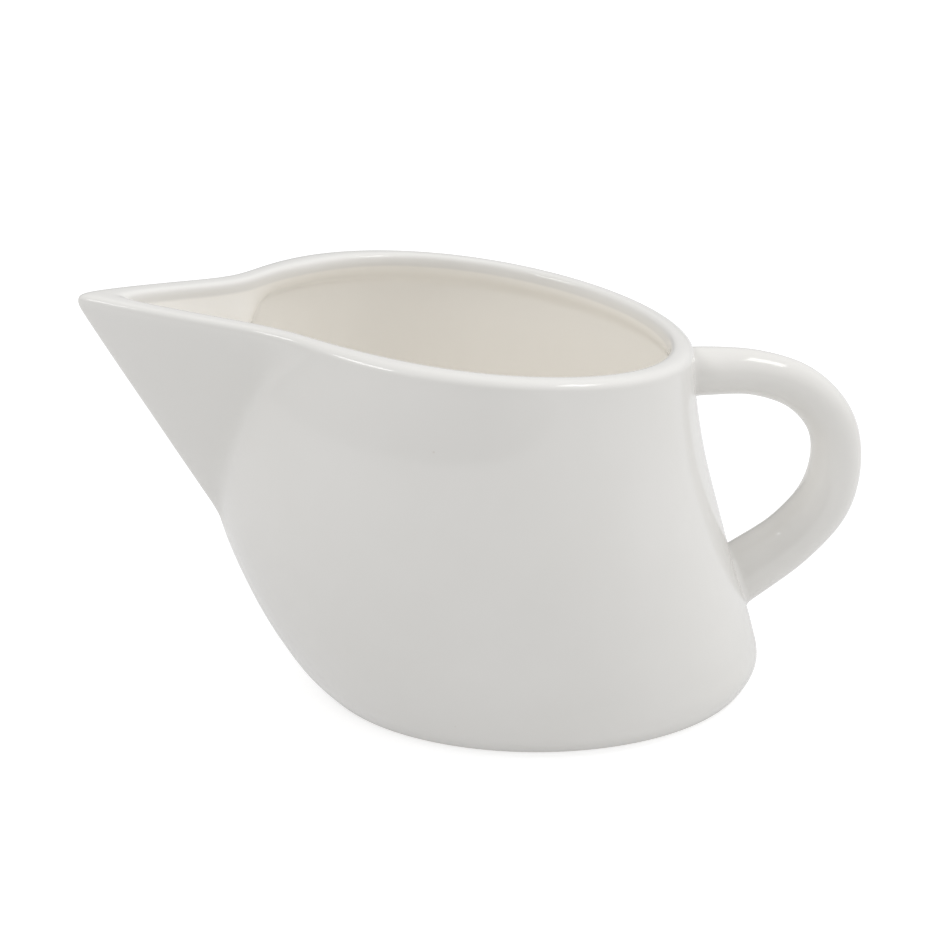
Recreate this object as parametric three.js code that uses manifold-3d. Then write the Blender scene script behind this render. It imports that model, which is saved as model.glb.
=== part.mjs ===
// A porcelain cream jug: one round slip-cast body with a drawn-out spout and a rolled rim,
// a separately cast loop handle, and the two collars of slip that join the handle to the wall.
//
// Millimetres, +Z up. The spout points towards -X and the handle towards +X, and the jug is
// the same on both sides of the XZ plane. The origin is on the table, under the middle of the
// jug's length and width.
//
// Every level of the body is a circle lying in a plane of its own. The planes start level at
// the foot and tilt a little more towards the top, so the rim rises towards the spout. The
// spout is a wedge laid over those circles: its keel is one straight line, and its two flanks
// open out from the keel and run into the round wall with a soft blend.
import * as THREE from 'three';
import { mergeVertices } from 'three/addons/utils/BufferGeometryUtils.js';
import Module from 'manifold-3d';

const wasm = await Module();
wasm.setup();

// ---- Driving dimensions of the body ----
const REAR_HEIGHT = 61.7; // from the table to the rim's edge circle, at the handle
const FRONT_HEIGHT = 73.0; // the same at the spout side
const LEVELS = [0, 0.05, 0.14, 0.3, 0.5, 0.72, 1]; // heights as a share of the full height
const FRONT_WALL_X = [-28.3, -32.0, -36.6, -42.7, -47.6, -48.0, -43.3]; // at those levels
const REAR_WALL_X = [48.6, 50.5, 49.7, 46.6, 43.2, 39.8, 37.7]; // at those levels
const WALL = 3.3; // thickness of the wall
const FLOOR_LEVEL = 0.085; // level of the floor inside
const FOOT_WIDTH = 4.0; // width of the flat ring the jug stands on
const FOOT_SLOPE = 3.0; // width of the slope inside that ring
const RECESS = 1.8; // depth of the hollow under the floor

// ---- Driving dimensions of the rim ----
// Angles go round the mouth from the tip of the spout to the handle, in degrees. The first and
// the last one lie beyond those two, so that the curves through them are level there.
const RIM_ANGLES = [-10, 0, 10, 29, 50, 90, 180, 270].map(THREE.MathUtils.degToRad);
const RIM_THICKNESSES = [4.6, 4.3, 4.6, 4.0, 5.3, 4.8, 4.4, 4.8]; // at those angles
const RIM_LIFTS = [-0.37, -0.35, -0.37, -0.31, -0.19, 0.16, -0.25, 0.16]; // off its plane
const LIFT_FOOT = 0.7; // level below which the rim's lifts have no effect
const RIM_RISE = 2.0; // how far the rim's crown stands above its edge circle
const CROWN_PLACE = 0.61; // how far in the crown's highest line lies, as a share of the thickness
const OUTER_SQUARENESS_SPOUT = 0.49; // 1 for a round outer shoulder, less for a tighter one
const OUTER_SQUARENESS_BODY = 0.81; // the same away from the spout
const INNER_SQUARENESS = 0.7; // of the inner shoulder
const LEDGE_TOP = 0.99; // level where the inside begins to step back under the rim
const LEDGE_FOOT = 0.94; // level where it has stepped back to the wall's thickness
const TAPER_FOOT = 0.6; // level where the spout's wall, which has no step, is that thin
const LEDGE_START = THREE.MathUtils.degToRad(22); // where the step begins, round the mouth
const LEDGE_FULL = THREE.MathUtils.degToRad(38); // where it has its full depth

// ---- Driving dimensions of the spout ----
const KEEL_START = new THREE.Vector2(-53.2, 42.9); // x and z where the keel leaves the wall
const KEEL_END = new THREE.Vector2(-78.7, 83.4); // a point further up the same line
const HALF_ANGLE_LOW = THREE.MathUtils.degToRad(39.4); // of the wedge at the keel's start
const HALF_ANGLE_HIGH = THREE.MathUtils.degToRad(25.0); // of the wedge at the keel's end
const KEEL_ROUNDING = 0.025; // softens the wedge's edge, as a sine
const FLANK_HOLLOW = 0.39; // how far the flanks curve in
const FLANK_MIDDLE = 0.35; // the sine of the angle at which that curve has no effect
const BLEND_LOW = 1.5; // reach of the blend between spout and wall, on the keel's lower half
const BLEND_HIGH = 13.5; // and near the keel's end
const BLEND_START = 0.6; // how far along the keel the blend begins to widen
const BLEND_END = 0.95; // and where it has its full reach

// ---- Driving dimensions of the handle ----
// Each station is x, z and the half thickness of the loop's centre line, from the rim down.
const HANDLE_STATIONS = [
  [35.2, 54.7, 4.5],
  [42.2, 54.7, 4.4],
  [51.6, 53.6, 4.1],
  [60.2, 50.0, 4.2],
  [65.9, 43.6, 4.4],
  [67.4, 36.0, 4.7],
  [65.2, 27.9, 5.1],
  [59.0, 21.3, 5.2],
  [51.3, 16.5, 5.5],
  [43.7, 12.6, 5.8],
];
const HANDLE_WIDENING = 1.06; // the loop is a little wider across than it is thick
const FIT_GAP = 0.3; // clearance between pieces that meet
const COLLAR_LENGTH = 2.4; // how far a collar of slip reaches along the handle
const COLLAR_WIDE = 1.8; // a collar's thickness against the wall
const COLLAR_THIN = 0.8; // and at its far edge
const SLEEVE_ROOT = 8.0; // how far a sleeve reaches into the body before it is cut back

// ---- Fineness of the surfaces ----
const SIDES = 72;
const CROWDING = 0.6; // how much closer together the points lie at the spout
const BODY_LEVELS = [0, 0.012, 0.03, 0.05, 0.09, 0.14, 0.2, 0.27, 0.34, 0.41, 0.48, 0.55, 0.62,
  0.69, 0.76, 0.82, 0.88, 0.94, 1];
const HANDLE_SIDES = 20;
const HANDLE_STEPS = 44;
const RIM_STEPS = 8;

const PORCELAIN = { color: 0xe9e8e4, roughness: 0.16, metalness: 0 };

// A smooth curve through a list of values, each tangent taken from the neighbours' parabola.
function smoothThrough(places, values) {
  const last = places.length - 1;
  const slope = (i) => (values[i + 1] - values[i]) / (places[i + 1] - places[i]);
  const step = (i) => places[i + 1] - places[i];
  const tangents = values.map((_, i) => {
    if (i === 0) return slope(0) + ((slope(0) - slope(1)) * step(0)) / (step(0) + step(1));
    if (i === last) {
      const bend = (slope(last - 1) - slope(last - 2)) / (step(last - 1) + step(last - 2));
      return slope(last - 1) + bend * step(last - 1);
    }
    return (slope(i - 1) * step(i) + slope(i) * step(i - 1)) / (step(i - 1) + step(i));
  });
  return (place) => {
    let i = 0;
    while (i < last - 1 && place > places[i + 1]) i += 1;
    const width = step(i);
    const u = (place - places[i]) / width;
    const start = values[i] * (1 + 2 * u) * (1 - u) ** 2 + width * tangents[i] * u * (1 - u) ** 2;
    const end = values[i + 1] * u * u * (3 - 2 * u) - width * tangents[i + 1] * u * u * (1 - u);
    return start + end;
  };
}

const frontWall = smoothThrough(LEVELS, FRONT_WALL_X);
const rearWall = smoothThrough(LEVELS, REAR_WALL_X);

const rimThickness = smoothThrough(RIM_ANGLES, RIM_THICKNESSES);
const rimLift = smoothThrough(RIM_ANGLES, RIM_LIFTS);

// 0 up to one value, 1 from another one on, and a smooth rise between them.
function smoothRise(value, low, high) {
  const u = THREE.MathUtils.clamp((value - low) / (high - low), 0, 1);
  return u * u * (3 - 2 * u);
}

// The larger of two lengths, with a soft passage where they are within reach of each other.
function softLarger(a, b, reach) {
  const nearness = Math.max(reach - Math.abs(a - b), 0) / reach;
  return Math.max(a, b) + (nearness ** 3 * reach) / 6;
}

// The circle of one level: its centre, its radius and the two directions of its plane.
function circleAt(level) {
  const front = new THREE.Vector2(frontWall(level), level * FRONT_HEIGHT);
  const rear = new THREE.Vector2(rearWall(level), level * REAR_HEIGHT);
  const centre = front.clone().add(rear).multiplyScalar(0.5);
  const across = front.clone().sub(rear);
  const radius = across.length() / 2;
  const forward = across.normalize();
  const upward = new THREE.Vector2(forward.y, -forward.x);
  return { centre, radius, forward, upward };
}

// Where the keel crosses a level's plane: its distance from the centre, and how far along it.
function keelAt({ centre, forward }) {
  const keel = KEEL_END.clone().sub(KEEL_START);
  const offset = KEEL_START.clone().sub(centre);
  const area = keel.cross(forward);
  return { reach: keel.cross(offset) / area, along: forward.cross(offset) / area };
}

// The distance from the centre to the body's surface, in one direction of a level's plane.
// The inset moves the surface square to itself, into the wall.
function surfaceRadius(circle, angle, inset) {
  const { reach, along } = keelAt(circle);
  const share = THREE.MathUtils.clamp(along, -0.3, 1);
  const halfAngle = THREE.MathUtils.lerp(HALF_ANGLE_LOW, HALF_ANGLE_HIGH, share);
  const edge = Math.max(reach - inset / Math.sin(halfAngle), 0.001);
  const sine = Math.hypot(Math.sin(angle), KEEL_ROUNDING);
  const hollow = 1 + FLANK_HOLLOW * (sine - FLANK_MIDDLE);
  let closeness = Math.cos(angle) + (sine / Math.tan(halfAngle)) * hollow;
  if (Math.abs(angle) > Math.PI / 2 - halfAngle) {
    closeness = Math.max(closeness, 1 / Math.sin(halfAngle));
  }
  const widening = smoothRise(along, BLEND_START, BLEND_END);
  const blend = THREE.MathUtils.lerp(BLEND_LOW, BLEND_HIGH, widening);
  return softLarger(circle.radius - inset, edge / closeness, blend);
}

// The angles of a ring's points, from -180 to 180 degrees, closer together at the spout.
const ANGLES = Array.from({ length: SIDES }, (_, i) => {
  const turn = (2 * Math.PI * i) / SIDES - Math.PI;
  return turn - CROWDING * Math.sin(turn);
});

// One ring of points on the surface of a level. A rule gives each angle its inset, which moves
// the point into the wall, and its lift, which moves it up.
function surfaceRing(level, rule) {
  const circle = circleAt(level);
  return ANGLES.map((angle) => {
    const { inset, lift = 0 } = rule(Math.abs(angle));
    const radius = surfaceRadius(circle, angle, inset);
    const forward = radius * Math.cos(angle);
    const raised = lift + rimLift(Math.abs(angle)) * smoothRise(level, LIFT_FOOT, 1);
    const x = circle.centre.x + circle.forward.x * forward + circle.upward.x * raised;
    const z = circle.centre.y + circle.forward.y * forward + circle.upward.y * raised;
    return new THREE.Vector3(x, -radius * Math.sin(angle), z);
  });
}

// One ring with the same inset all round.
function evenRing(level, inset) {
  return surfaceRing(level, () => ({ inset }));
}

// A closed surface over a row of rings with the same number of points, capped by two points.
function closedLoft(firstPoint, rings, lastPoint) {
  const count = rings[0].length;
  const points = [firstPoint, ...rings.flat(), lastPoint];
  const lastIndex = points.length - 1;
  const at = (ring, i) => 1 + ring * count + (i % count);
  const faces = [];
  for (let i = 0; i < count; i += 1) {
    faces.push(0, at(0, i + 1), at(0, i));
    faces.push(lastIndex, at(rings.length - 1, i), at(rings.length - 1, i + 1));
    for (let ring = 0; ring < rings.length - 1; ring += 1) {
      faces.push(at(ring, i), at(ring, i + 1), at(ring + 1, i + 1));
      faces.push(at(ring, i), at(ring + 1, i + 1), at(ring + 1, i));
    }
  }
  const geometry = new THREE.BufferGeometry().setFromPoints(points);
  geometry.setIndex(faces);
  return geometry;
}

// The body's outer skin, from the foot to the rim's edge, grown outwards by a clearance.
function outerSkin(clearance) {
  return BODY_LEVELS.map((level) => evenRing(level, -clearance));
}

// The middle point of a level's circle, at a given height.
function middleAt(level, height) {
  return new THREE.Vector3(circleAt(level).centre.x, 0, height);
}

// Over the crown of the rim: turn goes from 0 outside, over a quarter turn on top, to a half.
function rimRule(turn) {
  const sideways = Math.abs(Math.cos(turn));
  const upwards = Math.max(Math.sin(turn), 0);
  return (angle) => {
    const thickness = rimThickness(angle);
    if (turn > Math.PI / 2) {
      const across = CROWN_PLACE + (1 - CROWN_PLACE) * sideways ** INNER_SQUARENESS;
      return { inset: thickness * across, lift: RIM_RISE * upwards ** INNER_SQUARENESS };
    }
    const away = smoothRise(THREE.MathUtils.radToDeg(angle), 15, 50);
    const squareness = THREE.MathUtils.lerp(OUTER_SQUARENESS_SPOUT, OUTER_SQUARENESS_BODY, away);
    const across = CROWN_PLACE * (1 - sideways ** squareness);
    return { inset: thickness * across, lift: RIM_RISE * upwards ** squareness };
  };
}

// Down the inside: a step under the rim where the jug is round, a slow taper in the spout.
function innerRule(level) {
  const step = smoothRise(level, LEDGE_FOOT, LEDGE_TOP);
  const taper = smoothRise(level, TAPER_FOOT, LEDGE_FOOT);
  return (angle) => {
    const round = smoothRise(angle, LEDGE_START, LEDGE_FULL);
    const share = THREE.MathUtils.lerp(taper, step, round);
    return { inset: THREE.MathUtils.lerp(WALL, rimThickness(angle), share) };
  };
}

// The body: underside, outer skin, rolled rim, inner skin and floor, as one closed surface.
function makeBody() {
  const raised = (ring, height) => ring.map((point) => point.clone().setZ(height));
  const slopeEnd = FOOT_WIDTH + FOOT_SLOPE;
  const underside = [
    raised(evenRing(0, slopeEnd), RECESS),
    evenRing(0, FOOT_WIDTH),
  ];
  const rim = [];
  for (let i = 1; i <= RIM_STEPS; i += 1) {
    rim.push(surfaceRing(1, rimRule((Math.PI * i) / RIM_STEPS)));
  }
  const belowRim = [LEDGE_TOP, (LEDGE_TOP + LEDGE_FOOT) / 2, LEDGE_FOOT];
  const innerLevels = BODY_LEVELS.filter((level) => level > 0.15 && level < LEDGE_FOOT - 0.02).reverse();
  const innerWall = [...belowRim, ...innerLevels].map((level) => (
    surfaceRing(level, innerRule(level))
  ));
  const corner = [
    evenRing(FLOOR_LEVEL + 0.045, WALL + 1.0),
    evenRing(FLOOR_LEVEL + 0.015, WALL + 3.4),
    evenRing(FLOOR_LEVEL, WALL + 8.0),
  ];
  const rings = [...underside, ...outerSkin(0), ...rim, ...innerWall, ...corner];
  const floorHeight = (FLOOR_LEVEL * (FRONT_HEIGHT + REAR_HEIGHT)) / 2;
  return closedLoft(middleAt(0, RECESS), rings, middleAt(FLOOR_LEVEL, floorHeight));
}

// The handle's centre line and its half thickness, as smooth curves of 0 to 1.
const handleLine = new THREE.CatmullRomCurve3(
  HANDLE_STATIONS.map(([x, z]) => new THREE.Vector3(x, 0, z)),
  false,
  'centripetal',
);
const stationPlaces = HANDLE_STATIONS.map((_, i) => i / (HANDLE_STATIONS.length - 1));
const handleThickness = smoothThrough(stationPlaces, HANDLE_STATIONS.map((station) => station[2]));

// One ring of points square to the handle's centre line, with an outer and a sideways radius.
function handleRing(place, growth) {
  const middle = handleLine.getPoint(place);
  const ahead = handleLine.getTangent(place);
  const outward = new THREE.Vector3(ahead.z, 0, -ahead.x).negate();
  const thick = handleThickness(place);
  return Array.from({ length: HANDLE_SIDES }, (_, i) => {
    const turn = (2 * Math.PI * i) / HANDLE_SIDES;
    const side = -(thick * HANDLE_WIDENING + growth) * Math.sin(turn);
    const out = (thick + growth) * Math.cos(turn);
    return middle.clone().addScaledVector(outward, out).setY(side);
  });
}

// A stretch of the handle as a closed solid, grown by an amount that may vary along it.
function handleStretch(start, end, steps, growthAt) {
  const rings = [];
  for (let i = 0; i <= steps; i += 1) {
    const place = start + ((end - start) * i) / steps;
    rings.push(handleRing(place, growthAt(i / steps)));
  }
  return closedLoft(handleLine.getPoint(start), rings, handleLine.getPoint(end));
}

// A closed mesh as a solid that can be cut, and a solid as a mesh again.
function toSolid(geometry) {
  const shared = geometry.clone();
  shared.deleteAttribute('normal');
  shared.deleteAttribute('uv');
  const merged = mergeVertices(shared);
  const mesh = new wasm.Mesh({
    numProp: 3,
    vertProperties: new Float32Array(merged.getAttribute('position').array),
    triVerts: new Uint32Array(merged.index.array),
  });
  return new wasm.Manifold(mesh);
}

function toGeometry(solid) {
  const { vertProperties, triVerts } = solid.getMesh();
  const geometry = new THREE.BufferGeometry();
  geometry.setAttribute('position', new THREE.BufferAttribute(vertProperties, 3));
  geometry.setIndex(new THREE.BufferAttribute(triVerts, 1));
  return geometry;
}

// The whole space that the body takes up, with the clearance that its neighbours keep.
function bodySpace() {
  const rings = outerSkin(FIT_GAP);
  return toSolid(closedLoft(middleAt(0, 0), rings, middleAt(1, circleAt(1).centre.y)));
}

// The place along the handle where its centre line comes out of the body's wall.
function wallPlace(start, end) {
  let inside = start;
  let outside = end;
  for (let i = 0; i < 40; i += 1) {
    const middle = (inside + outside) / 2;
    const point = handleLine.getPoint(middle);
    const level = point.z / REAR_HEIGHT;
    if (point.x < rearWall(level)) inside = middle;
    else outside = middle;
  }
  return inside;
}

function makeHandle() {
  return toGeometry(toSolid(handleStretch(0, 1, HANDLE_STEPS, () => 0)).subtract(bodySpace()));
}

// A collar of slip: a short sleeve round the handle, thick at the wall and thin outside.
function makeCollar(insidePlace, outsidePlace) {
  const wall = wallPlace(insidePlace, outsidePlace);
  const length = handleLine.getLength();
  const direction = Math.sign(outsidePlace - insidePlace);
  const near = THREE.MathUtils.clamp(wall - (direction * SLEEVE_ROOT) / length, 0, 1);
  const far = wall + (direction * COLLAR_LENGTH) / length;
  const share = (far - wall) / (far - near);
  const sleeveGrowth = (u) => {
    const beyond = THREE.MathUtils.clamp((u - 1 + share) / share, 0, 1);
    return FIT_GAP + THREE.MathUtils.lerp(COLLAR_WIDE, COLLAR_THIN, beyond);
  };
  const steps = 6;
  const ordered = direction > 0 ? [near, far] : [far, near];
  const growth = direction > 0 ? sleeveGrowth : (u) => sleeveGrowth(1 - u);
  const sleeve = toSolid(handleStretch(...ordered, steps, growth));
  const bore = toSolid(handleStretch(0, 1, HANDLE_STEPS, () => FIT_GAP));
  return toGeometry(sleeve.subtract(bore).subtract(bodySpace()));
}

// One named piece of the jug.
function piece(name, geometry) {
  geometry.computeVertexNormals();
  const mesh = new THREE.Mesh(geometry, new THREE.MeshStandardMaterial(PORCELAIN));
  mesh.name = name;
  return mesh;
}

const jug = new THREE.Group();
jug.add(piece('jug_body', makeBody()));
jug.add(piece('handle', makeHandle()));
jug.add(piece('upper_handle_joint', makeCollar(0, 0.3)));
jug.add(piece('lower_handle_joint', makeCollar(1, 0.7)));

export default jug;
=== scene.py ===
# %% [markdown]
# # A porcelain cream jug
# A small jug like this is cast from liquid clay in a plaster mould. The handle is cast on its own and
# stuck on with the same liquid clay, which a potter calls slip. Then everything gets one coat of clear
# glaze, except the ring that the jug stands on.
#
# The imported frame comes first. It says where every piece goes and how big it is, and nothing made
# here may move or grow past it.

# %% The frame
import math

import bmesh
import bpy
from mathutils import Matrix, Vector, noise


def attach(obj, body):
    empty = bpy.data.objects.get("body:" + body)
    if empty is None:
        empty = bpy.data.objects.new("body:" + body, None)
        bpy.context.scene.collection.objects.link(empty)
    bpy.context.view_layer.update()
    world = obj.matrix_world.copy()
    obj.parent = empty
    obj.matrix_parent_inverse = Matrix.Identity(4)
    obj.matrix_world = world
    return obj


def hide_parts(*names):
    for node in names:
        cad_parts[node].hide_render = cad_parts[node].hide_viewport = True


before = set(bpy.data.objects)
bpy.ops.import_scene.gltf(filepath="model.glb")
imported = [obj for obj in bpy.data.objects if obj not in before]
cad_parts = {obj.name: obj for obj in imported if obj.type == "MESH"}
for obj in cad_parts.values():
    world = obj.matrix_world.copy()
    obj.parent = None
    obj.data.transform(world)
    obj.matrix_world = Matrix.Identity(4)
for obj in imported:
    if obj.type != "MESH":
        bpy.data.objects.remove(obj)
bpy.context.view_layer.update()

MM = 0.001

# %% [markdown]
# ## The camera
# A long lens a good way off keeps the jug's proportions natural, as in a shop's photograph of its
# china. It looks down a little, from the side of the spout, so that the rim shows as an ellipse and
# the inside can be seen.

# %% The camera
AIM = Vector((-1.5, -2.0, 39.5)) * MM
AZIMUTH = math.radians(-15.1)
ELEVATION = math.radians(19.6)
DISTANCE = 788 * MM
SENSOR = 36.0
FOCAL_LENGTH = 167.2


def direction_to_viewer(azimuth, elevation):
    """The way from the jug to somebody who looks at it from that side and height."""
    level = math.cos(elevation)
    return Vector((math.sin(azimuth) * level, -math.cos(azimuth) * level, math.sin(elevation)))


def look_at(thing, place, target):
    """Puts a camera or a light at a place and turns it towards a target."""
    thing.location = place
    thing.rotation_euler = (target - place).to_track_quat("-Z", "Y").to_euler()


camera = bpy.data.objects.new("camera", bpy.data.cameras.new("camera"))
bpy.context.scene.collection.objects.link(camera)
camera.data.sensor_width = SENSOR
camera.data.lens = FOCAL_LENGTH
look_at(camera, AIM + direction_to_viewer(AZIMUTH, ELEVATION) * DISTANCE, AIM)
bpy.context.scene.camera = camera
print("camera at", tuple(round(c, 3) for c in camera.location))

# %% [markdown]
# ## The shape of the body
# Cut the jug level by level, and every cut is a circle. Each circle lies in its own plane: level at
# the foot, and tipped a little more at each step, so that the rim rises towards the spout. The walls
# at the front and the back are two smooth curves, given by seven points each, and a circle simply
# fills the room between them. The same numbers shape the frame.

# %% The walls and the circles
REAR_HEIGHT = 61.7 * MM
FRONT_HEIGHT = 73.0 * MM
LEVELS = [0, 0.05, 0.14, 0.3, 0.5, 0.72, 1]
FRONT_WALL_X = [x * MM for x in (-28.3, -32.0, -36.6, -42.7, -47.6, -48.0, -43.3)]
REAR_WALL_X = [x * MM for x in (48.6, 50.5, 49.7, 46.6, 43.2, 39.8, 37.7)]


def smooth_through(places, values):
    """A smooth curve through a few values, each slope taken from the neighbours on both sides."""
    last = len(places) - 1
    steps = [b - a for a, b in zip(places, places[1:])]
    slopes = [(b - a) / step for a, b, step in zip(values, values[1:], steps)]
    first_slope = slopes[0] + (slopes[0] - slopes[1]) * steps[0] / (steps[0] + steps[1])
    last_slope = slopes[-1] + (slopes[-1] - slopes[-2]) * steps[-1] / (steps[-1] + steps[-2])
    tangents = [first_slope]
    for i in range(1, last):
        mixed = slopes[i - 1] * steps[i] + slopes[i] * steps[i - 1]
        tangents.append(mixed / (steps[i - 1] + steps[i]))
    tangents.append(last_slope)

    def curve(place):
        i = 0
        while i < last - 1 and place > places[i + 1]:
            i += 1
        u = (place - places[i]) / steps[i]
        start = values[i] * (1 + 2 * u) * (1 - u) ** 2 + steps[i] * tangents[i] * u * (1 - u) ** 2
        end = values[i + 1] * u * u * (3 - 2 * u) - steps[i] * tangents[i + 1] * u * u * (1 - u)
        return start + end

    return curve


front_wall = smooth_through(LEVELS, FRONT_WALL_X)
rear_wall = smooth_through(LEVELS, REAR_WALL_X)


def circle_at(level):
    """A level's centre, radius, forward direction and upward direction, in the jug's XZ plane."""
    front = Vector((front_wall(level), level * FRONT_HEIGHT))
    rear = Vector((rear_wall(level), level * REAR_HEIGHT))
    forward = (front - rear).normalized()
    return (front + rear) / 2, (front - rear).length / 2, forward, Vector((forward.y, -forward.x))


for level in (0, 0.5, 1):
    print("level", level, "radius", round(circle_at(level)[1] / MM, 1), "mm")

# %% [markdown]
# ## The shape of the spout
# The spout is a wedge laid over the circles, as if two thumbs had drawn the soft wall out to a point.
# Its keel is one straight line from the belly up to the tip. At each level the wedge reaches out as
# far as the keel does, and its flanks open at an angle that gets narrower towards the tip. Where
# wedge and circle meet they melt into each other, which leaves the soft valley beside the spout.
#
# An inset moves the surface square to itself into the clay. On the wedge that pulls the point back
# further than it pulls the flanks in, just as in a real wall of even thickness.
#
# The valley is crisp along the lower part of the keel and opens out towards the rim, where a potter's
# thumb has gone to and fro.

# %% The keel and the flanks
KEEL_START = Vector((-53.2, 42.9)) * MM
KEEL_END = Vector((-78.7, 83.4)) * MM
HALF_ANGLE_LOW = math.radians(39.4)
HALF_ANGLE_HIGH = math.radians(25.0)
LOWEST_SHARE = -0.3
KEEL_ROUNDING = 0.025
FLANK_HOLLOW = 0.39
FLANK_MIDDLE = 0.35
BLEND_LOW = 1.5 * MM
BLEND_HIGH = 13.5 * MM
BLEND_START = 0.6
BLEND_END = 0.95


def clamp(value, low, high):
    return max(low, min(high, value))


def smooth_rise(value, low, high):
    """0 up to one value, 1 from another one on, and a smooth rise between them."""
    u = clamp((value - low) / (high - low), 0, 1)
    return u * u * (3 - 2 * u)


def between(start, end, share):
    return start + (end - start) * share


def soft_larger(a, b, reach):
    """The larger of two lengths, with a soft passage where they are nearly the same."""
    nearness = max(reach - abs(a - b), 0) / reach
    return max(a, b) + nearness**3 * reach / 6


def surface_radius(level, angle, inset):
    """How far the surface is from the middle of a level, in one direction of its plane."""
    centre, radius, forward, _ = circle_at(level)
    keel = KEEL_END - KEEL_START
    offset = KEEL_START - centre
    reach = keel.cross(offset) / keel.cross(forward)
    along = forward.cross(offset) / keel.cross(forward)
    share = clamp(along, LOWEST_SHARE, 1)
    half_angle = between(HALF_ANGLE_LOW, HALF_ANGLE_HIGH, share)
    edge = max(reach - inset / math.sin(half_angle), 0.001 * MM)
    sine = math.hypot(math.sin(angle), KEEL_ROUNDING)
    hollow = 1 + FLANK_HOLLOW * (sine - FLANK_MIDDLE)
    closeness = math.cos(angle) + sine / math.tan(half_angle) * hollow
    if abs(angle) > math.pi / 2 - half_angle:
        closeness = max(closeness, 1 / math.sin(half_angle))
    blend = between(BLEND_LOW, BLEND_HIGH, smooth_rise(along, BLEND_START, BLEND_END))
    return soft_larger(radius - inset, edge / closeness, blend)


def surface_point(level, angle, inset=0.0, lift=0.0):
    """A point of the body: angle 0 is the spout, 180 degrees the handle."""
    centre, _, forward, upward = circle_at(level)
    radius = surface_radius(level, angle, inset)
    flat = centre + forward * (radius * math.cos(angle)) + upward * lift
    return Vector((flat.x, -radius * math.sin(angle), flat.y))


print("tip of the spout:", tuple(round(c / MM, 1) for c in surface_point(1, 0)))

# %% [markdown]
# ## From a plain tube to the jug
# Every piece here starts in the same way: a circle is added, its edge is extruded upwards into a
# plain tube, and the upright edges are subdivided, which puts in the loops between the two ends. Then
# the tube is drawn into shape, the way a potter draws up a wall: each point keeps its loop and its
# angle, and a rule says where it goes.
# That way the mesh stays a tidy grid of four-sided faces, which shows clean reflections.

# %% Helpers for tubes
TUBE_HEIGHT = 1.0


def pick_only(piece):
    """Makes one piece the only selected and active one."""
    bpy.ops.object.select_all(action="DESELECT")
    piece.select_set(True)
    bpy.context.view_layer.objects.active = piece


def plain_tube(name, columns, loops):
    """A tube with so many points round and so many loops up, open at both ends."""
    bpy.ops.object.select_all(action="DESELECT")
    bpy.ops.mesh.primitive_circle_add(vertices=columns, radius=1, fill_type="NOTHING")
    tube = bpy.context.active_object
    tube.name = name
    tube.data.name = name
    bpy.ops.object.mode_set(mode="EDIT")
    bpy.ops.mesh.select_all(action="SELECT")
    bpy.ops.mesh.extrude_region_move(TRANSFORM_OT_translate={"value": (0, 0, TUBE_HEIGHT)})
    bpy.ops.mesh.select_mode(type="EDGE")
    bpy.ops.mesh.select_all(action="DESELECT")
    grid = bmesh.from_edit_mesh(tube.data)
    for edge in grid.edges:
        edge.select = edge.verts[0].co.z != edge.verts[1].co.z
    bmesh.update_edit_mesh(tube.data)
    bpy.ops.mesh.subdivide(number_cuts=loops - 2)
    bpy.ops.mesh.select_mode(type="VERT")
    bpy.ops.object.mode_set(mode="OBJECT")
    tube["loops"] = loops
    return tube


def draw_into_shape(tube, rule):
    """Moves each point of a plain tube to where the rule puts it: rule(loop, angle)."""
    last = tube["loops"] - 1
    ends = tube.vertex_groups.new(name="first_loop"), tube.vertex_groups.new(name="last_loop")
    for vertex in tube.data.vertices:
        loop = round(vertex.co.z / TUBE_HEIGHT * last)
        if loop in (0, last):
            ends[loop == last].add([vertex.index], 1, "REPLACE")
        vertex.co = rule(loop, math.atan2(vertex.co.y, vertex.co.x))
    tube.data.update()


print("a tube is", TUBE_HEIGHT, "m high until it is drawn into shape")

# %% [markdown]
# Two helpers finish a tube. One closes its ends, with a grid of faces because a fan of thin triangles
# would show as a star in the glaze. The other rounds the mesh and applies the rounding.

# %% Helpers that finish a tube

def close_ends(tube, columns):
    """Closes both open ends with a grid of faces and turns all faces outwards."""
    pick_only(tube)
    bpy.ops.object.mode_set(mode="EDIT")
    for end in ("first_loop", "last_loop"):
        bpy.ops.mesh.select_all(action="DESELECT")
        bpy.ops.object.vertex_group_set_active(group=end)
        bpy.ops.object.vertex_group_select()
        bpy.ops.mesh.fill_grid(span=columns // 4)
    bpy.ops.mesh.select_all(action="SELECT")
    bpy.ops.mesh.normals_make_consistent(inside=False)
    bpy.ops.object.mode_set(mode="OBJECT")
    tube.vertex_groups.clear()


def smooth_finish(piece, levels):
    """Rounds a piece with Subdivision Surface, applies it and shades it smooth."""
    pick_only(piece)
    rounding = piece.modifiers.new("rounding", "SUBSURF")
    rounding.levels = levels
    rounding.render_levels = levels
    bpy.ops.object.modifier_apply(modifier=rounding.name)
    bpy.ops.object.shade_smooth()
    print(piece.name, "has", len(piece.data.polygons), "faces")


# %% [markdown]
# ## The stations of the body
# A potter's profile runs from the middle of the underside, over the foot ring, up the outside, over
# the rim, down the inside and to the middle of the floor. Here it is a list of stations. Each says
# at which level a loop lies, how far it is set into the wall, and how far it is lifted.
#
# The rim is thicker than the wall and has a flattish crown with rounded shoulders. Under it the
# inside steps back to the wall's thickness, which gives the shadow line below the far rim. On the
# rim and down the inside the thickness changes round the mouth, so there a station leaves it open
# and a rule fills it in later.

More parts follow.
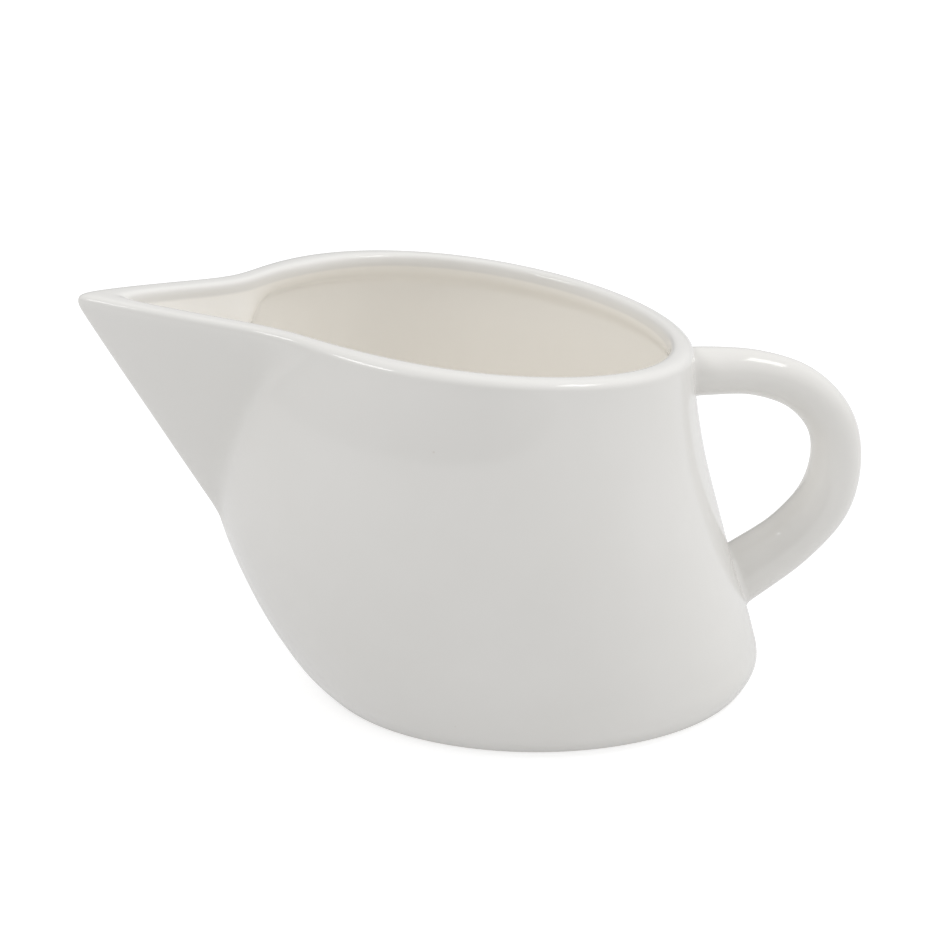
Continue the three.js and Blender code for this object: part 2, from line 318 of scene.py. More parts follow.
# %% The stations
WALL = 3.3 * MM
RIM_STEPS = 16
LEDGE_TOP = 0.99
LEDGE_FOOT = 0.94
FLOOR_LEVEL = 0.085
RECESS = 1.8 * MM
OUTER_LOOPS = 32
LEDGE_LOOPS = 8
INNER_LOOPS = 20
BY_RULE = None  # a value that depends on the angle

# Insets in millimetres, and on the slope the share of the recess that a loop is lifted by.
HOLLOW_INSETS = (36, 28, 18, 12, 9, 8)
SLOPE = ((7.2, 0.96), (6.0, 0.62), (4.9, 0.2))
RING_INSETS = (4.1, 3.6, 2.4, 1.2, 0.4)
FOOT_LEVELS = (0.0, 0.004, 0.012, 0.024, 0.038, 0.055, 0.075)
CORNER = ((0.145, 0.4), (0.122, 1.4), (0.104, 3.0), (0.092, 5.4), (0.086, 8.4))
FLOOR_INSETS = (12, 18, 25, 32)


def spread(low, high, count):
    """Evenly spaced values from low to high."""
    return [low + (high - low) * i / (count - 1) for i in range(count)]


def underside_stations():
    """From the middle of the hollow underside to the outer edge of the foot ring."""
    hollow = [(0, inset * MM, RECESS) for inset in HOLLOW_INSETS]
    slope = [(0, inset * MM, RECESS * share) for inset, share in SLOPE]
    ring = [(0, inset * MM, 0) for inset in RING_INSETS]
    return hollow + slope + ring


def outer_stations():
    """Up the outside, with closer loops at the rounded foot."""
    wall = spread(0.1, 1, OUTER_LOOPS)
    return [(level, 0, 0) for level in [*FOOT_LEVELS, *wall]]


def inner_stations():
    """Down the inside below the rim, over the ledge and round the corner to the floor."""
    ledge = [(level, BY_RULE, 0) for level in spread(0.995, LEDGE_FOOT - 0.005, LEDGE_LOOPS)]
    wall = [(level, BY_RULE, 0) for level in spread(LEDGE_FOOT - 0.03, 0.17, INNER_LOOPS)]
    corner = [(level, WALL + inset * MM, 0) for level, inset in CORNER]
    floor = [(FLOOR_LEVEL, WALL + inset * MM, 0) for inset in FLOOR_INSETS]
    return ledge + wall + corner + floor


BODY_STATIONS = underside_stations() + outer_stations()
FIRST_RIM_LOOP = len(BODY_STATIONS)
BODY_STATIONS += [(1, BY_RULE, BY_RULE)] * RIM_STEPS
LAST_RIM_LOOP = len(BODY_STATIONS) - 1
BODY_STATIONS += inner_stations()
print(len(BODY_STATIONS), "stations")

# %% [markdown]
# ## The rim
# The thickness of the rim changes a little round the mouth: it is thinnest where the spout was drawn
# out of the round wall, and stoutest just behind that. Its edge isn't quite flat either. Both are
# given at a few angles, counted from the tip of the spout to the handle. The first and the last lie
# beyond those two, so that the curves through them are level there.
#
# The crown has a tight outer shoulder along the spout and a rounder one round the bowl.

# %% The rim
RIM_ANGLES = [math.radians(angle) for angle in (-10, 0, 10, 29, 50, 90, 180, 270)]
RIM_THICKNESSES = [t * MM for t in (4.6, 4.3, 4.6, 4.0, 5.3, 4.8, 4.4, 4.8)]
RIM_LIFTS = [t * MM for t in (-0.37, -0.35, -0.37, -0.31, -0.19, 0.16, -0.25, 0.16)]
LIFT_FOOT = 0.7
RIM_RISE = 2.0 * MM
CROWN_PLACE = 0.61
OUTER_SQUARENESS_SPOUT = 0.49
OUTER_SQUARENESS_BODY = 0.81
TIGHT_TO = math.radians(15)
ROUND_FROM = math.radians(50)
INNER_SQUARENESS = 0.7
TAPER_FOOT = 0.6
LEDGE_START = math.radians(22)
LEDGE_FULL = math.radians(38)

rim_thickness = smooth_through(RIM_ANGLES, RIM_THICKNESSES)
rim_lift = smooth_through(RIM_ANGLES, RIM_LIFTS)
for degrees in (0, 29, 50, 90, 180):
    print("rim at", degrees, "degrees:", round(rim_thickness(math.radians(degrees)) / MM, 2), "mm")

# %% [markdown]
# ## The body
# Points crowd together towards the spout, where the outline turns sharply, so the point and the
# valleys beside it get enough of them. Cast china is never perfectly true: it moves a few hundredths
# of a millimetre as it dries and is fired. A slow, smooth noise gives every piece the same slight
# movement, and it is what makes a reflection look like china and not like plastic. Blender seeds
# this noise by the clock, so it gets a seed of its own here, and every run gives the same jug.

# %% The body
COLUMNS = 184
CROWDING = 0.6
WOBBLE = 0.07 * MM
WOBBLE_SIZE = 26 * MM
STILL_HEIGHT = 6 * MM
WOBBLE_SEED = 11
noise.seed_set(WOBBLE_SEED)


def settle(point):
    """The slight movement of fired clay at a place, which fades out towards the table."""
    amount = WOBBLE * smooth_rise(point.z, 0, STILL_HEIGHT)
    return point + noise.noise_vector(point / WOBBLE_SIZE) * amount


def crowded(angle):
    return angle - CROWDING * math.sin(angle)


def rim_point(step, angle):
    """Over the crown of the rim, from the outside to the inside."""
    turn = math.pi * step / RIM_STEPS
    sideways = abs(math.cos(turn))
    upwards = max(math.sin(turn), 0)
    thickness = rim_thickness(abs(angle))
    squareness = INNER_SQUARENESS
    across = CROWN_PLACE + (1 - CROWN_PLACE) * sideways**squareness
    if turn <= math.pi / 2:
        away = smooth_rise(abs(angle), TIGHT_TO, ROUND_FROM)
        squareness = between(OUTER_SQUARENESS_SPOUT, OUTER_SQUARENESS_BODY, away)
        across = CROWN_PLACE * (1 - sideways**squareness)
    lift = RIM_RISE * upwards**squareness + rim_lift(abs(angle))
    return surface_point(1, angle, thickness * across, lift)


def inner_inset(level, angle):
    """Down the inside: a step under the rim where the jug is round, a taper in the spout."""
    step = smooth_rise(level, LEDGE_FOOT, LEDGE_TOP)
    taper = smooth_rise(level, TAPER_FOOT, LEDGE_FOOT)
    share = between(taper, step, smooth_rise(abs(angle), LEDGE_START, LEDGE_FULL))
    return between(WALL, rim_thickness(abs(angle)), share)


def body_rule(loop, plain_angle):
    """Where a point of the plain tube goes on the body."""
    angle = crowded(plain_angle)
    level, inset, lift = BODY_STATIONS[loop]
    if lift is BY_RULE:
        return settle(rim_point(loop - FIRST_RIM_LOOP + 1, angle))
    if inset is BY_RULE:
        inset = inner_inset(level, angle)
    lift += rim_lift(abs(angle)) * smooth_rise(level, LIFT_FOOT, 1)
    return settle(surface_point(level, angle, inset, lift))


body = plain_tube("porcelain_body", COLUMNS, len(BODY_STATIONS))
inside_of_point = [round(vertex.co.z / TUBE_HEIGHT * (len(BODY_STATIONS) - 1)) > LAST_RIM_LOOP
                   for vertex in body.data.vertices]
draw_into_shape(body, body_rule)
close_ends(body, COLUMNS)

# %% [markdown]
# The inside gets a mark of its own, an attribute that is 1 on the points of the inner wall and the
# floor and 0 elsewhere. The painted light inside, a brighter and warmer colour with a faint glow, uses
# it further on. The points that closed the tube's ends came last, and those of the floor are the ones
# that lie above the hollow underside.

# %% The mark of the inside
inside = body.data.attributes.new("inside", "FLOAT", "POINT")
for vertex in body.data.vertices:
    if vertex.index < len(inside_of_point):
        marked = inside_of_point[vertex.index]
    else:
        marked = vertex.co.z > 2 * RECESS
    inside.data[vertex.index].value = marked
smooth_finish(body, 1)
print("points inside:", sum(mark.value > 0.5 for mark in body.data.attributes["inside"].data))

# %% [markdown]
# ## The handle
# The loop is a bar bent round a smooth line, a little wider across than it is thick, and stouter
# towards its lower root. Its middle line goes through ten stations, each with its x, its z and half
# the loop's thickness there.

# %% The line of the loop
HANDLE_STATIONS = [
    (35.2, 54.7, 4.5), (42.2, 54.7, 4.4), (51.6, 53.6, 4.1), (60.2, 50.0, 4.2), (65.9, 43.6, 4.4),
    (67.4, 36.0, 4.7), (65.2, 27.9, 5.1), (59.0, 21.3, 5.2), (51.3, 16.5, 5.5), (43.7, 12.6, 5.8),
]
HANDLE_WIDENING = 1.06
NUDGE = 0.001
HANDLE_PLACES = spread(0, 1, len(HANDLE_STATIONS))
handle_x = smooth_through(HANDLE_PLACES, [x * MM for x, z, half in HANDLE_STATIONS])
handle_z = smooth_through(HANDLE_PLACES, [z * MM for x, z, half in HANDLE_STATIONS])
handle_half = smooth_through(HANDLE_PLACES, [half * MM for x, z, half in HANDLE_STATIONS])


def handle_point(place, angle, growth=0.0):
    """A point on the loop: place runs from the upper root to the lower, angle 0 is outward."""
    run = handle_x(place + NUDGE) - handle_x(place - NUDGE)
    rise = handle_z(place + NUDGE) - handle_z(place - NUDGE)
    ahead = Vector((run, 0, rise)).normalized()
    outward = Vector((-ahead.z, 0, ahead.x))
    middle = Vector((handle_x(place), 0, handle_z(place)))
    half = handle_half(place)
    side = (half * HANDLE_WIDENING + growth) * math.sin(angle)
    return middle + outward * ((half + growth) * math.cos(angle)) + Vector((0, side, 0))


print("middle of the loop:", tuple(round(c / MM, 1) for c in handle_point(0.5, math.pi / 2)))

# %% [markdown]
# A real handle is trimmed to fit the wall before it is stuck on. Here each lengthwise row of points
# looks for the place where it goes into the wall. It does so by halving: a stretch that starts inside
# the wall and ends outside is cut in two again and again, and the half with the crossing is kept.

# %% Where the loop meets the wall
HALVINGS = 26
HIGHEST_LEVEL = 1.2


def level_of(point):
    """The level whose plane a point lies in."""
    low, high = 0.0, HIGHEST_LEVEL
    for _ in range(HALVINGS):
        middle = (low + high) / 2
        centre, _, _, upward = circle_at(middle)
        if (Vector((point.x, point.z)) - centre).dot(upward) > 0:
            low = middle
        else:
            high = middle
    return low


def depth_in_wall(point):
    """How far a point lies inside the body's outer skin, and the skin's nearest point."""
    level = level_of(point)
    centre, _, forward, _ = circle_at(level)
    ahead = (Vector((point.x, point.z)) - centre).dot(forward)
    angle = math.atan2(-point.y, ahead)
    depth = surface_radius(level, angle, 0) - math.hypot(ahead, point.y)
    return depth, surface_point(level, angle)


def meeting_place(angle, inside, outside, growth=0.0, depth=0.0):
    """The place along the loop where one lengthwise row of points is that deep in the wall."""
    for _ in range(HALVINGS):
        middle = (inside + outside) / 2
        if depth_in_wall(handle_point(middle, angle, growth))[0] > depth:
            inside = middle
        else:
            outside = middle
    return inside


UPPER_RANGE = (0.0, 0.3)
LOWER_RANGE = (1.0, 0.7)
print("upper root at place", round(meeting_place(0, *UPPER_RANGE), 3))
print("lower root at place", round(meeting_place(0, *LOWER_RANGE), 3))

# %% [markdown]
# The tube's loops are spread between the two places that its row has found, so both ends follow the
# wall. They go a little way into it, and the slip of the joints covers the seam.

# %% The handle
HANDLE_COLUMNS = 40
HANDLE_LOOPS = 72
ROOT_DEPTH = 1.2 * MM

root_places = {}


def handle_rule(loop, angle):
    """Where a point of the plain tube goes on the handle."""
    key = round(angle, 4)
    if key not in root_places:
        upper = meeting_place(angle, *UPPER_RANGE, depth=ROOT_DEPTH)
        lower = meeting_place(angle, *LOWER_RANGE, depth=ROOT_DEPTH)
        root_places[key] = (upper, lower)
    upper, lower = root_places[key]
    return settle(handle_point(upper + (lower - upper) * loop / (HANDLE_LOOPS - 1), angle))


handle = plain_tube("porcelain_handle", HANDLE_COLUMNS, HANDLE_LOOPS)
draw_into_shape(handle, handle_rule)
close_ends(handle, HANDLE_COLUMNS)
smooth_finish(handle, 1)

# %% [markdown]
# ## The joints
# Slip squeezes out round each root as the handle is pressed on, and a wet brush smooths it into a
# small hollow fillet. Seen in a cut, the fillet is a curve that leaves the handle along its side and
# arrives at the wall flat. Its three guide points are on the handle, in the corner, and on the wall.
# At both ends the slip dips a hair's breadth under the surface that it runs out on, so no edge shows,
# and only the edges down there are shaded sharp.
# The tube for it runs out over that curve and comes back just under the two surfaces that it covers.

# %% The joints
JOINT_COLUMNS = 64
FILLET_STEPS = 14
UPPER_FILLET = 1.5 * MM
LOWER_FILLET = 1.7 * MM
UNDER_SKIN = 0.35 * MM
SKIRT = 0.6 * MM
SKIRT_DEPTH = 0.12 * MM
PACE_STEP = 0.01
HIDDEN_EDGE = math.radians(50)


def joint_section(angle, root_range, size):
    """The closed outline of one cut through a fillet, at one angle round the handle."""
    corner_place = meeting_place(angle, *root_range)
    corner = handle_point(corner_place, angle)
    direction = math.copysign(1, root_range[1] - root_range[0])
    pace_end = handle_point(corner_place + PACE_STEP * direction, angle)
    pace = (pace_end - corner).length / PACE_STEP
    on_handle = handle_point(corner_place + direction * size / pace, angle)
    middle = handle_point(corner_place, angle + math.pi)
    away = (corner - (corner + middle) / 2).normalized()
    on_wall = depth_in_wall(corner + away * size)[1]
    curve = []
    for i in range(FILLET_STEPS + 1):
        u = i / FILLET_STEPS
        curve.append(on_handle * (1 - u) ** 2 + corner * (2 * u * (1 - u)) + on_wall * u * u)
    outward = (on_wall - surface_point(level_of(on_wall), math.pi, WALL)).normalized()
    past_wall = depth_in_wall(on_wall + away * SKIRT)[1] - outward * SKIRT_DEPTH
    under_wall = on_wall - outward * UNDER_SKIN
    under_corner = corner - outward * UNDER_SKIN - away * UNDER_SKIN
    under_handle = on_handle - away * UNDER_SKIN
    past_handle = handle_point(corner_place + direction * (size + SKIRT) / pace, angle, -SKIRT_DEPTH)
    return [past_handle] + curve + [past_wall, under_wall, under_corner, under_handle]


def make_joint(name, root_range, size):
    """A closed ring of slip round one root."""
    sections = {}

    def rule(loop, angle):
        key = round(angle, 4)
        if key not in sections:
            sections[key] = joint_section(angle, root_range, size)
        return settle(sections[key][loop])

    ring = plain_tube(name, JOINT_COLUMNS, FILLET_STEPS + 6)
    draw_into_shape(ring, rule)
    pick_only(ring)
    bpy.ops.object.mode_set(mode="EDIT")
    bpy.ops.mesh.select_all(action="DESELECT")
    bpy.ops.mesh.select_non_manifold(extend=False)
    bpy.ops.mesh.bridge_edge_loops()
    bpy.ops.mesh.select_all(action="SELECT")
    bpy.ops.mesh.normals_make_consistent(inside=False)
    bpy.ops.object.mode_set(mode="OBJECT")
    bpy.ops.object.shade_smooth_by_angle(angle=HIDDEN_EDGE)
    print(name, "has", len(ring.data.polygons), "faces")
    return ring


upper_joint = make_joint("slip_upper_joint", UPPER_RANGE, UPPER_FILLET)
lower_joint = make_joint("slip_lower_joint", LOWER_RANGE, LOWER_FILLET)

# %% [markdown]
# ## What makes it look like china
# Three things do it. The clay is a warm white that is never quite even. It carries a few tiny dark
# specks of iron, so faint that they are felt more than seen. And over it lies a clear glaze that
# pulled itself nearly flat in the kiln, but not quite, so reflections waver a little.
#
# Every piece shares these effects, so each is a node group with named inputs. They all read Object
# coordinates, so a pattern runs on from the body into the handle without a break.
#
# Setting up nodes one by one in a script takes many lines that look alike. A few helpers do it: one
# makes an empty group, and each of the others adds one kind of node and hands back its output.

# %% Helpers for node groups
# The Mix node has a set of sockets for each kind of value. These are the numbers of its colours.
FIRST_COLOUR = 6
SECOND_COLOUR = 7
MIXED_COLOUR = 2


def new_group(name, inputs, outputs):
    """An empty node group with named sockets, and its input and output nodes."""
    group = bpy.data.node_groups.new(name, "ShaderNodeTree")
    for socket_name, kind, value in inputs:
        socket = group.interface.new_socket(socket_name, in_out="INPUT", socket_type=kind)
        socket.default_value = value
    for socket_name, kind in outputs:
        group.interface.new_socket(socket_name, in_out="OUTPUT", socket_type=kind)
    return group, group.nodes.new("NodeGroupInput"), group.nodes.new("NodeGroupOutput")


def object_noise(tree, scale, detail):
    """Soft noise on Object coordinates, from 0 to 1. The scale is in patches for each metre."""
    place = tree.nodes.new("ShaderNodeTexCoord")
    texture = tree.nodes.new("ShaderNodeTexNoise")
    texture.inputs["Scale"].default_value = scale
    texture.inputs["Detail"].default_value = detail
    tree.links.new(place.outputs["Object"], texture.inputs["Vector"])
    return texture.outputs["Fac"]


def ranged(tree, value, low, high, new_low, new_high):
    """Turns the range low to high into another one, and holds it there."""
    node = tree.nodes.new("ShaderNodeMapRange")
    tree.links.new(value, node.inputs["Value"])
    node.inputs["From Min"].default_value = low
    node.inputs["From Max"].default_value = high
    node.inputs["To Min"].default_value = new_low
    node.inputs["To Max"].default_value = new_high
    return node.outputs["Result"]


def calculate(tree, operation, first, second):
    """One Math node. Each of its two values is a socket or a plain number."""
    node = tree.nodes.new("ShaderNodeMath")
    node.operation = operation
    for socket, value in zip(node.inputs, (first, second)):
        if isinstance(value, (int, float)):
            socket.default_value = value
        else:
            tree.links.new(value, socket)
    return node.outputs["Value"]


def blend_colours(tree, share, first, second):
    """Mixes two colours. Each is a socket or a plain colour."""
    node = tree.nodes.new("ShaderNodeMix")
    node.data_type = "RGBA"
    tree.links.new(share, node.inputs["Factor"])
    for number, colour in ((FIRST_COLOUR, first), (SECOND_COLOUR, second)):
        socket = node.inputs[number]
        if isinstance(colour, tuple):
            socket.default_value = (*colour, 1)
        else:
            tree.links.new(colour, socket)
    return node.outputs[MIXED_COLOUR]


print("node groups before the first one:", len(bpy.data.node_groups))

# %% [markdown]
# Glaze turns to glass in the kiln and would weld the jug to the shelf. So the ring that it stands on
# is wiped clean before the firing. Object coordinates tell where that is: everything lower than a
# tenth of a millimetre or so.

# %% The bare ring
BARE_HEIGHT = 0.12 * MM


def bare_ring(tree):
    """1 on the flat ring that stands on the table, which is left without glaze, 0 above it."""
    place = tree.nodes.new("ShaderNodeTexCoord")
    split = tree.nodes.new("ShaderNodeSeparateXYZ")
    tree.links.new(place.outputs["Object"], split.inputs["Vector"])
    return ranged(tree, split.outputs["Z"], BARE_HEIGHT, BARE_HEIGHT * 2, 1, 0)


print("glaze starts", round(BARE_HEIGHT / MM, 2), "mm above the table")

# %% [markdown]
# The colour of the fired clay. A slow noise shifts it a little between two whites. The specks come
# from a cell pattern: each cell has a dot in its middle, and only the few cells that drew a high
# number show theirs. The bare ring is a shade greyer, because dust settles into it.

# %% The colour of fired clay
CLOUD_SCALE = 38
CLOUD_DETAIL = 3
SPECK_SCALE = 210
SPECK_SHARE = 0.06
SPECK_SIZE = (0.03, 0.07)
SPECK_COLOUR = (0.50, 0.42, 0.33)
BARE_COLOUR = (0.60, 0.57, 0.51)

fired_clay, clay_in, clay_out = new_group(
    "fired_clay",
    [("Light", "NodeSocketColor", (0.8, 0.8, 0.8, 1)),
     ("Dark", "NodeSocketColor", (0.8, 0.8, 0.8, 1)),
     ("Specks", "NodeSocketFloat", 0.3)],
    [("Color", "NodeSocketColor")],
)
cloud_noise = object_noise(fired_clay, CLOUD_SCALE, CLOUD_DETAIL)
clouds = ranged(fired_clay, cloud_noise, 0.35, 0.65, 0, 1)
clay_colour = blend_colours(fired_clay, clouds, clay_in.outputs["Light"], clay_in.outputs["Dark"])
cells_place = fired_clay.nodes.new("ShaderNodeTexCoord")
cells = fired_clay.nodes.new("ShaderNodeTexVoronoi")
cells.inputs["Scale"].default_value = SPECK_SCALE
fired_clay.links.new(cells_place.outputs["Object"], cells.inputs["Vector"])
drawn = fired_clay.nodes.new("ShaderNodeSeparateColor")
fired_clay.links.new(cells.outputs["Color"], drawn.inputs["Color"])
chosen = calculate(fired_clay, "LESS_THAN", drawn.outputs["Red"], SPECK_SHARE)
dot = ranged(fired_clay, cells.outputs["Distance"], *SPECK_SIZE, 1, 0)
chosen_dot = calculate(fired_clay, "MULTIPLY", dot, chosen)
speck = calculate(fired_clay, "MULTIPLY", chosen_dot, clay_in.outputs["Specks"])
speckled = blend_colours(fired_clay, speck, clay_colour, SPECK_COLOUR)
with_ring = blend_colours(fired_clay, bare_ring(fired_clay), speckled, BARE_COLOUR)
fired_clay.links.new(with_ring, clay_out.inputs["Color"])
print("specks in about", round(SPECK_SHARE * 100), "% of the cells")

# %% [markdown]
# The glaze. It makes the surface under it a little glossier in one place than in another, and it is
# missing on the bare ring, where the clay is matt. Its pull is a height for the Bump node: long,
# shallow waves with a finer ripple on them.

# %% The glaze
GLOSS_SCALE = 90
WAVE_SCALE = 120
RIPPLE_SCALE = 700
BARE_ROUGHNESS = 0.75

glaze_cover, cover_in, cover_out = new_group(
    "glaze_cover",
    [("Smooth", "NodeSocketFloat", 0.4), ("Dull", "NodeSocketFloat", 0.5)],
    [("Roughness", "NodeSocketFloat"), ("Coat Weight", "NodeSocketFloat")],
)
patches = ranged(glaze_cover, object_noise(glaze_cover, GLOSS_SCALE, 2), 0.3, 0.7, 0, 1)
room = calculate(glaze_cover, "SUBTRACT", cover_in.outputs["Dull"], cover_in.outputs["Smooth"])
added = calculate(glaze_cover, "MULTIPLY", room, patches)
glazed = calculate(glaze_cover, "ADD", cover_in.outputs["Smooth"], added)
ring = bare_ring(glaze_cover)
matt = calculate(glaze_cover, "MULTIPLY", ring, BARE_ROUGHNESS)
roughness = calculate(glaze_cover, "MAXIMUM", glazed, matt)
coat = calculate(glaze_cover, "SUBTRACT", 1, ring)
glaze_cover.links.new(roughness, cover_out.inputs["Roughness"])
glaze_cover.links.new(coat, cover_out.inputs["Coat Weight"])

glaze_pull, pull_in, pull_out = new_group(
    "glaze_pull", [("Ripple", "NodeSocketFloat", 0.06)], [("Height", "NodeSocketFloat")],
)
waves = object_noise(glaze_pull, WAVE_SCALE, 1)
fine_noise = object_noise(glaze_pull, RIPPLE_SCALE, 1)
ripple = calculate(glaze_pull, "MULTIPLY", fine_noise, pull_in.outputs["Ripple"])
height = calculate(glaze_pull, "ADD", waves, ripple)
glaze_pull.links.new(height, pull_out.inputs["Height"])
print("node groups:", sorted(group.name for group in bpy.data.node_groups))

# %% [markdown]
# Thin china lets light through. Daylight that falls on the outside comes out again on the inside, a
# little warmer, which is why the inside of a white jug is never as dark as its shape would make it.
# Here that light is painted: the inside gets a brighter, warmer copy of the clay's colour and a weak
# warm glow of its own, and the mark of the inside says where.

# %% Painted light inside
painted_light_group, wall_in, wall_out = new_group(
    "painted_light_inside",
    [("Color", "NodeSocketColor", (1, 1, 1, 1)), ("Inside", "NodeSocketColor", (1, 1, 1, 1)),
     ("Glow", "NodeSocketColor", (1, 1, 1, 1))],
    [("Color", "NodeSocketColor"), ("Glow", "NodeSocketColor")],
)
mark = painted_light_group.nodes.new("ShaderNodeAttribute")
mark.attribute_name = "inside"
marked = mark.outputs["Fac"]
outside_colour = wall_in.outputs["Color"]
# Painted light: the inside takes a brighter, warmer copy of the colour and a faint glow.
painted_wall_colour = blend_colours(painted_light_group, marked, outside_colour, wall_in.outputs["Inside"])
glow = blend_colours(painted_light_group, marked, (0.0, 0.0, 0.0), wall_in.outputs["Glow"])
painted_light_group.links.new(painted_wall_colour, wall_out.inputs["Color"])
painted_light_group.links.new(glow, wall_out.inputs["Glow"])
print("the inside is marked by", mark.attribute_name)

# %% [markdown]
# ## The three materials
# The body, the handle and the slip at the joints came out of the same kiln, so they differ only a
# little. The handle is solid and looks a trace warmer and denser. The glaze gathers in the hollow
# fillets of the joints, so it is glossier there and its ripple is weaker.

# %% A maker of china
COAT_ROUGHNESS = 0.05
COAT_IOR = 1.5
UNDER_COAT_SPECULAR = 0.3
PULL_DEPTH = 0.02 * MM


def place_group(tree, group, values):
    """Puts a node group into a material, with values of the material's own."""
    node = tree.nodes.new("ShaderNodeGroup")
    node.node_tree = group
    for socket_name, value in values.items():
        node.inputs[socket_name].default_value = value
    return node


def china(name, light, dark, smooth, dull, specks, ripple):
    """One kind of glazed porcelain, from the shared groups and values of its own."""
    material = bpy.data.materials.new(name)
    material.use_nodes = True
    tree = material.node_tree
    shader = tree.nodes["Principled BSDF"]
    shader.inputs["Coat Roughness"].default_value = COAT_ROUGHNESS
    shader.inputs["Coat IOR"].default_value = COAT_IOR
    shader.inputs["Specular IOR Level"].default_value = UNDER_COAT_SPECULAR
    clay = place_group(tree, fired_clay, {"Light": light, "Dark": dark, "Specks": specks})
    cover = place_group(tree, glaze_cover, {"Smooth": smooth, "Dull": dull})
    pull = place_group(tree, glaze_pull, {"Ripple": ripple})
    bump = tree.nodes.new("ShaderNodeBump")
    bump.inputs["Distance"].default_value = PULL_DEPTH
    tree.links.new(clay.outputs["Color"], shader.inputs["Base Color"])
    tree.links.new(cover.outputs["Roughness"], shader.inputs["Roughness"])
    tree.links.new(cover.outputs["Coat Weight"], shader.inputs["Coat Weight"])
    tree.links.new(pull.outputs["Height"], bump.inputs["Height"])
    tree.links.new(bump.outputs["Normal"], shader.inputs["Normal"])
    tree.links.new(bump.outputs["Normal"], shader.inputs["Coat Normal"])
    print("material", name)
    return material, clay, shader


# %% [markdown]
# Only the body has an inside, so only its material gets the painted light inside. The group goes in
# between the clay's colour and the shader.

# %% The three kinds of china
# Painted light: a brighter, warmer inside colour and a faint warm glow stand for light through the
# wall.
PAINTED_INSIDE_COLOUR = (0.87, 0.85, 0.81, 1)
PAINTED_WARM_GLOW = (1.0, 0.95, 0.87, 1)
PAINTED_GLOW_STRENGTH = 0.08

body_china, body_clay, body_shader = china(
    "body_porcelain", light=(0.855, 0.842, 0.816, 1), dark=(0.835, 0.822, 0.793, 1),
    smooth=0.42, dull=0.50, specks=0.25, ripple=0.06)
handle_china, _, _ = china(
    "handle_porcelain", light=(0.855, 0.841, 0.812, 1), dark=(0.833, 0.818, 0.787, 1),
    smooth=0.42, dull=0.52, specks=0.25, ripple=0.06)
slip_china, _, _ = china(
    "joint_slip", light=(0.850, 0.836, 0.806, 1), dark=(0.828, 0.812, 0.780, 1),
    smooth=0.36, dull=0.44, specks=0.15, ripple=0.03)

body_tree = body_china.node_tree
painted_inside_light = place_group(body_tree, painted_light_group, {"Inside": PAINTED_INSIDE_COLOUR, "Glow": PAINTED_WARM_GLOW})
body_tree.links.new(body_clay.outputs["Color"], painted_inside_light.inputs["Color"])
body_tree.links.new(painted_inside_light.outputs["Color"], body_shader.inputs["Base Color"])
body_tree.links.new(painted_inside_light.outputs["Glow"], body_shader.inputs["Emission Color"])
body_shader.inputs["Emission Strength"].default_value = PAINTED_GLOW_STRENGTH

body.data.materials.append(body_china)
handle.data.materials.append(handle_china)
upper_joint.data.materials.append(slip_china)
lower_joint.data.materials.append(slip_china)

# %% [markdown]
# ## The table
# The jug stands on a wide sheet of white paper that runs out of sight, so there is no edge behind
# it. Paper lit like that looks whiter than white to a camera, and the jug keeps its own soft shadow
# on it. So the sheet shows brighter to the camera than it is as a lamp for the jug's underside.

# %% The table
PAPER_SIZE = 6.0
PAPER_WHITE = 0.5
PAPER_ROUGHNESS = 0.9
PAPER_LIGHT = 0.34
PAPER_SEEN = 0.33

bpy.ops.object.select_all(action="DESELECT")
bpy.ops.mesh.primitive_plane_add(size=PAPER_SIZE)
table = bpy.context.active_object
table.name = "table"
paper = bpy.data.materials.new("white_paper")
paper.use_nodes = True
paper_shader = paper.node_tree.nodes["Principled BSDF"]
paper_shader.inputs["Base Color"].default_value = (PAPER_WHITE, PAPER_WHITE, PAPER_WHITE, 1)
paper_shader.inputs["Roughness"].default_value = PAPER_ROUGHNESS
paper_shader.inputs["Specular IOR Level"].default_value = 0
paper_shader.inputs["Emission Color"].default_value = (1, 1, 1, 1)
seen = paper.node_tree.nodes.new("ShaderNodeLightPath")
paper_light = paper.node_tree.nodes.new("ShaderNodeMath")
paper_light.operation = "MULTIPLY_ADD"
paper_light.inputs[1].default_value = PAPER_SEEN
paper_light.inputs[2].default_value = PAPER_LIGHT
paper.node_tree.links.new(seen.outputs["Is Camera Ray"], paper_light.inputs[0])
paper.node_tree.links.new(paper_light.outputs["Value"], paper_shader.inputs["Emission Strength"])
table.data.materials.append(paper)
print("table", PAPER_SIZE, "m wide")

# %% [markdown]
# ## The light
# A plain soft studio. Most of the light comes from a pale room that is brighter overhead and on the
# right, with some from the left and a little from behind. The world's own coordinates say how far
# each direction points along an axis. Each axis gives its share of light, and only on its own side.

# %% The room
ROOM_RIGHT = 0.94
ROOM_LEFT = 0.36
ROOM_BACK = 0.16
ROOM_ABOVE = 0.71

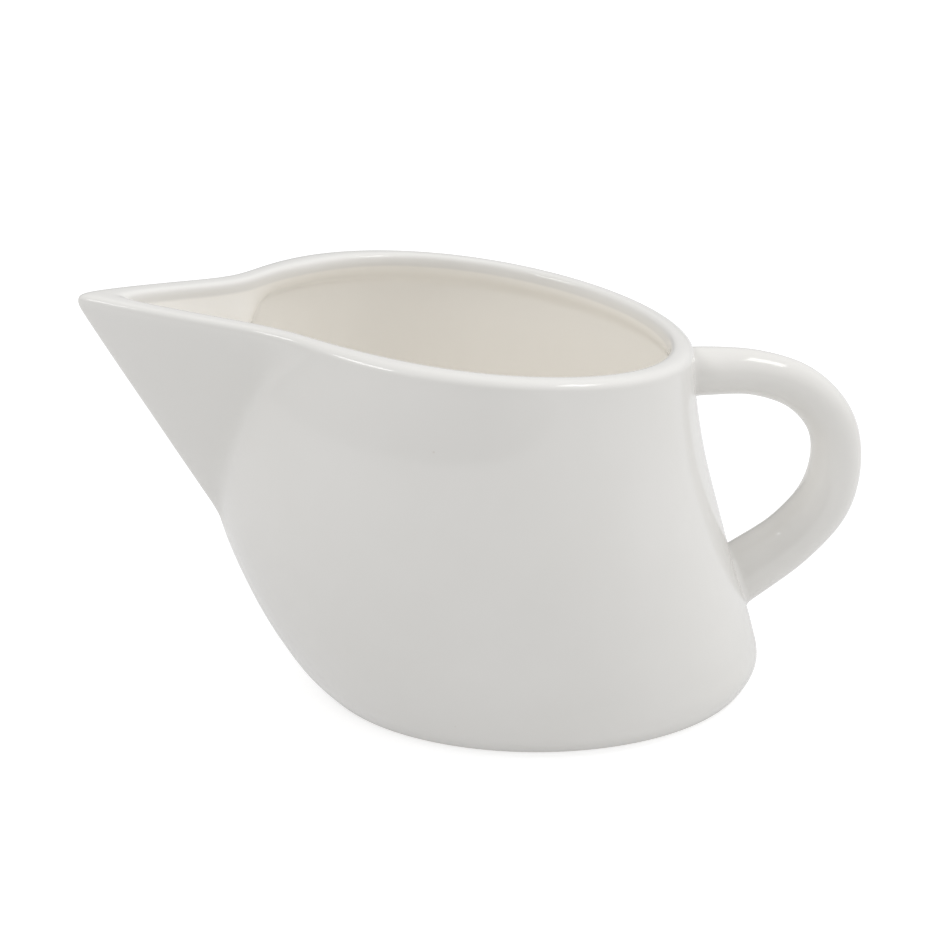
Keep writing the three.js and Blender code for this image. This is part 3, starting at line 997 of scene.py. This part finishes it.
world = bpy.data.worlds.new("studio")
bpy.context.scene.world = world
world.use_nodes = True
room_tree = world.node_tree
room_place = room_tree.nodes.new("ShaderNodeTexCoord")
room_split = room_tree.nodes.new("ShaderNodeSeparateXYZ")
room_tree.links.new(room_place.outputs["Generated"], room_split.inputs["Vector"])
room_light = 0.0
for axis, amount in (("X", ROOM_RIGHT), ("X", -ROOM_LEFT), ("Y", ROOM_BACK), ("Z", ROOM_ABOVE)):
    share = calculate(room_tree, "MULTIPLY", room_split.outputs[axis], amount)
    towards = calculate(room_tree, "MAXIMUM", share, 0.0)
    room_light = calculate(room_tree, "ADD", towards, room_light)
background = room_tree.nodes["Background"]
background.inputs["Color"].default_value = (1, 1, 1, 1)
room_tree.links.new(room_light, background.inputs["Strength"])
bpy.context.scene.view_settings.view_transform = "Standard"
print("the room is brightest", ROOM_RIGHT + ROOM_ABOVE)

# %% [markdown]
# Two small softboxes hang above the jug, one on each side. They draw the shines along the rim and the
# handle, and the left one brings out the valley beside the spout.

# %% The softboxes
LIT_POINT = Vector((0, 0, 40)) * MM
SOFTBOX_DISTANCE = 1.0


def softbox(name, azimuth, elevation, size, power):
    """A soft rectangle of light that shines on the jug from one side and height."""
    lamp = bpy.data.lights.new(name, "AREA")
    lamp.shape = "RECTANGLE"
    lamp.size, lamp.size_y = size
    lamp.energy = power
    box = bpy.data.objects.new(name, lamp)
    bpy.context.scene.collection.objects.link(box)
    towards = direction_to_viewer(math.radians(azimuth), math.radians(elevation))
    look_at(box, LIT_POINT + towards * SOFTBOX_DISTANCE, LIT_POINT)
    print(name, power, "W")


softbox("left_softbox", azimuth=-70, elevation=54, size=(0.36, 0.26), power=1.7)
softbox("right_softbox", azimuth=84, elevation=51, size=(0.3, 0.2), power=0.9)

# %% [markdown]
# ## Riding on the frame
# Nothing on a jug moves on its own, so every piece rides on the root. Each stands in for its piece
# of the frame, which is hidden.

# %% Riding on the frame
for piece, node, slot in (
    (body, "jug_body", "body_porcelain"),
    (handle, "handle", "handle_porcelain"),
    (upper_joint, "upper_handle_joint", "joint_slip"),
    (lower_joint, "lower_handle_joint", "joint_slip"),
):
    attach(piece, "root")
    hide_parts(node)
